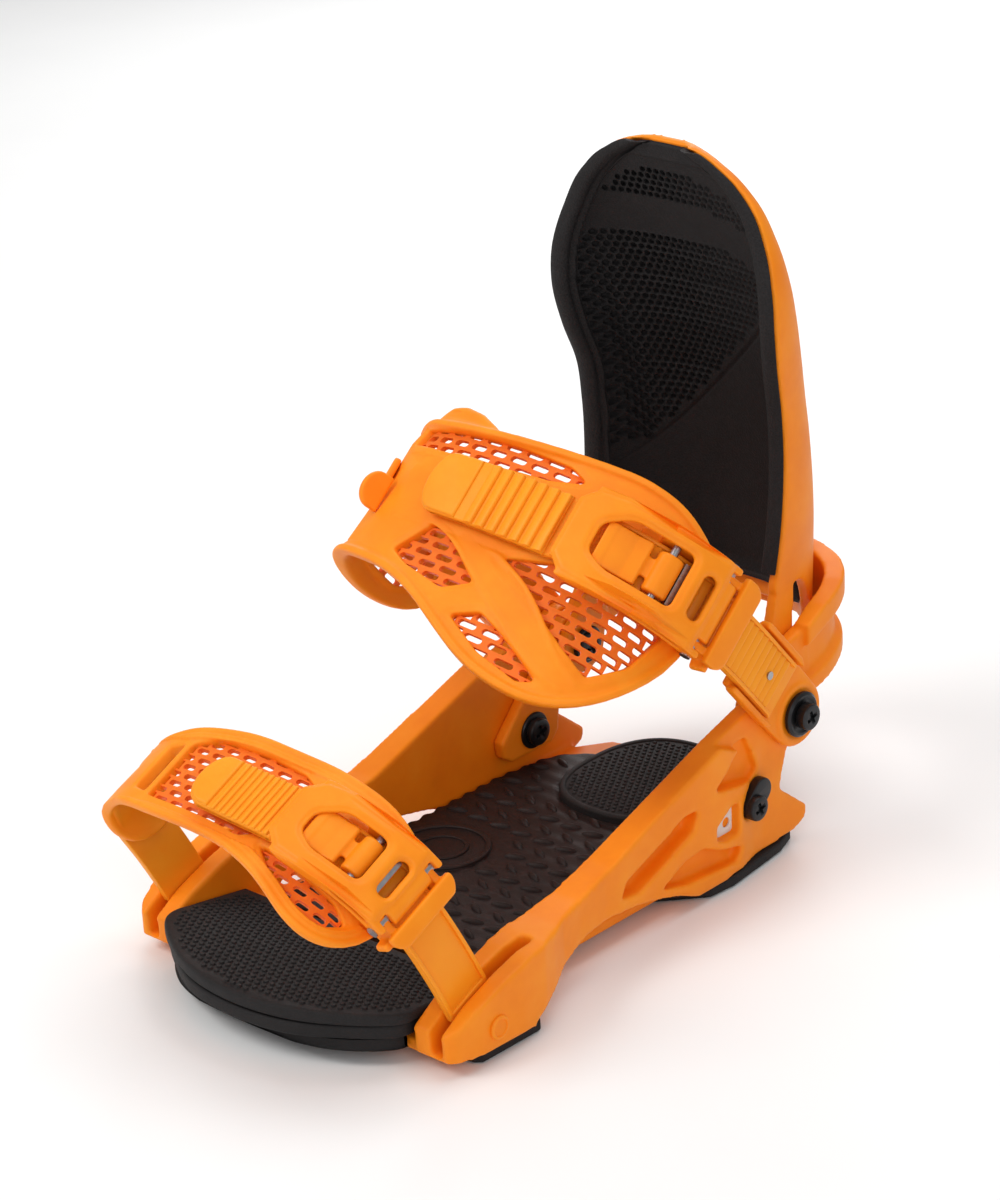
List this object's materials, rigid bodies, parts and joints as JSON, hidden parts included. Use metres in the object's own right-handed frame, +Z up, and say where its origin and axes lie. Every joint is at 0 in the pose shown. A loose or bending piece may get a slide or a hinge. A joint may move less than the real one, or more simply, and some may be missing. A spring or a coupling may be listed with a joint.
{
  "type": "snowboard strap binding",
  "caption": "Strap binding that holds a soft snowboard boot: a raised chassis with a heel hoop, padded folding highback, ratcheting ankle and toe straps and a turning mounting disc.",
  "frame": {"origin": "centre of the four-screw mounting disc, on the board plane under the base pads", "axes": "+X to the binding's right seen from the heel, the buckle side, -Y to the toe, +Y to the heel, +Z up from the board"},
  "size_m": [0.1576, 0.3017, 0.251],
  "materials": {
    "orange_nylon": "fine moulded satin",
    "ladder_plastic": "smooth semi matt",
    "orange_rubber": "soft moulded",
    "black_eva": "grained foam",
    "brown_eva": "moulded foam",
    "black_nylon": "matt",
    "black_steel": "black oxide",
    "steel": "turned",
    "white_plastic": "plain"
  },
  "bodies": {
    "base": {"baseplate": "orange_nylon", "rail_right": "orange_nylon", "rail_left": "orange_nylon", "base_pad_front_right": "black_eva", "base_pad_front_left": "black_eva", "base_pad_rear_right": "black_eva", "base_pad_rear_left": "black_eva", "centre_footbed": "brown_eva", "heel_footbed": "black_eva", "heel_hoop": "orange_nylon", "index_plates": "white_plastic", "hoop_screws": "black_steel", "hoop_brackets": "black_steel", "hoop_nuts": "black_steel", "pivot_screws": "black_steel", "pivot_washers": "black_steel", "pivot_nuts": "black_steel", "tower_pins": "steel"},
    "toe_ramp": {"toe_ramp": "black_eva", "toe_footbed": "black_eva"},
    "disc": {"mounting_disc": "black_nylon"},
    "highback": {"highback_right": "orange_nylon", "highback_left": "orange_nylon", "highback_ears": "orange_nylon", "highback_pad_right": "black_eva", "highback_pad_left": "black_eva", "lean_track": "orange_nylon"},
    "lean_block": {"lean_block": "black_nylon", "lean_pin": "steel"},
    "lean_lever": {"lean_lever": "orange_nylon"},
    "ankle_strap": {"ankle_connector_right": "orange_nylon", "ankle_connector_left": "orange_nylon", "ankle_ladder": "ladder_plastic", "ankle_ladder_pin": "steel", "ankle_pad": "orange_rubber", "ankle_tail": "ladder_plastic", "ankle_adjuster": "orange_nylon", "ankle_buckle_base": "orange_nylon", "ankle_lever_pin": "steel", "ankle_release_pin": "steel"},
    "ankle_lever": {"ankle_lever": "orange_nylon"},
    "ankle_release": {"ankle_release": "orange_nylon", "ankle_pawl": "steel"},
    "toe_strap": {"toe_ladder": "ladder_plastic", "toe_pad": "orange_rubber", "toe_tail": "ladder_plastic", "toe_buckle_base": "orange_nylon", "toe_lever_pin": "steel", "toe_release_pin": "steel"},
    "toe_lever": {"toe_lever": "orange_nylon"},
    "toe_release": {"toe_release": "orange_nylon", "toe_pawl": "steel"}
  },
  "joints": [
    {"name": "highback_fold", "type": "hinge", "parent": "base", "child": "highback", "pos_m": [0, 0.103, 0.053], "axis": [1, 0, 0], "range_deg": [0, 50]},
    {"name": "ankle_strap_swing", "type": "hinge", "parent": "base", "child": "ankle_strap", "pos_m": [0, 0.103, 0.053], "axis": [1, 0, 0], "range_deg": [0, 25]},
    {"name": "ankle_lever_lift", "type": "hinge", "parent": "ankle_strap", "child": "ankle_lever", "pos_m": [0.062, 0.05307, 0.11044], "axis": [0, 0.7547, 0.6561], "range_deg": [0, 60], "stiffness_Nm_per_rad": 0.03},
    {"name": "ankle_release_press", "type": "hinge", "parent": "ankle_strap", "child": "ankle_release", "pos_m": [0.05222, 0.04039, 0.12502], "axis": [0, -0.7547, -0.6561], "range_deg": [0, 5], "stiffness_Nm_per_rad": 0.03},
    {"name": "toe_strap_swing", "type": "hinge", "parent": "base", "child": "toe_strap", "pos_m": [0, -0.074, 0.012], "axis": [1, 0, 0], "range_deg": [-15, 10]},
    {"name": "toe_lever_lift", "type": "hinge", "parent": "toe_strap", "child": "toe_lever", "pos_m": [0.06104, -0.09888, 0.06536], "axis": [0, 0.9063, 0.4226], "range_deg": [0, 60], "stiffness_Nm_per_rad": 0.02},
    {"name": "toe_release_press", "type": "hinge", "parent": "toe_strap", "child": "toe_release", "pos_m": [0.04996, -0.10415, 0.07666], "axis": [0, -0.9063, -0.4226], "range_deg": [0, 5], "stiffness_Nm_per_rad": 0.02},
    {"name": "toe_ramp_slide", "type": "slide", "parent": "base", "child": "toe_ramp", "axis": [0, -1, 0], "range_m": [0, 0.01]},
    {"name": "disc_turn", "type": "hinge", "parent": "base", "child": "disc", "pos_m": [0, 0, 0], "axis": [0, 0, 1], "continuous": true},
    {"name": "lean_slide", "type": "slide", "parent": "highback", "child": "lean_block", "axis": [0, -0.1191, 0.9929], "range_m": [0, 0.02]},
    {"name": "lean_lever_open", "type": "hinge", "parent": "lean_block", "child": "lean_lever", "pos_m": [0, 0.1694, 0.1], "axis": [1, 0, 0], "range_deg": [0, 55]}
  ],
  "couplings": [
    {"joint": "ankle_strap_swing", "follows": "highback_fold", "ratio": 0.5}
  ]
}
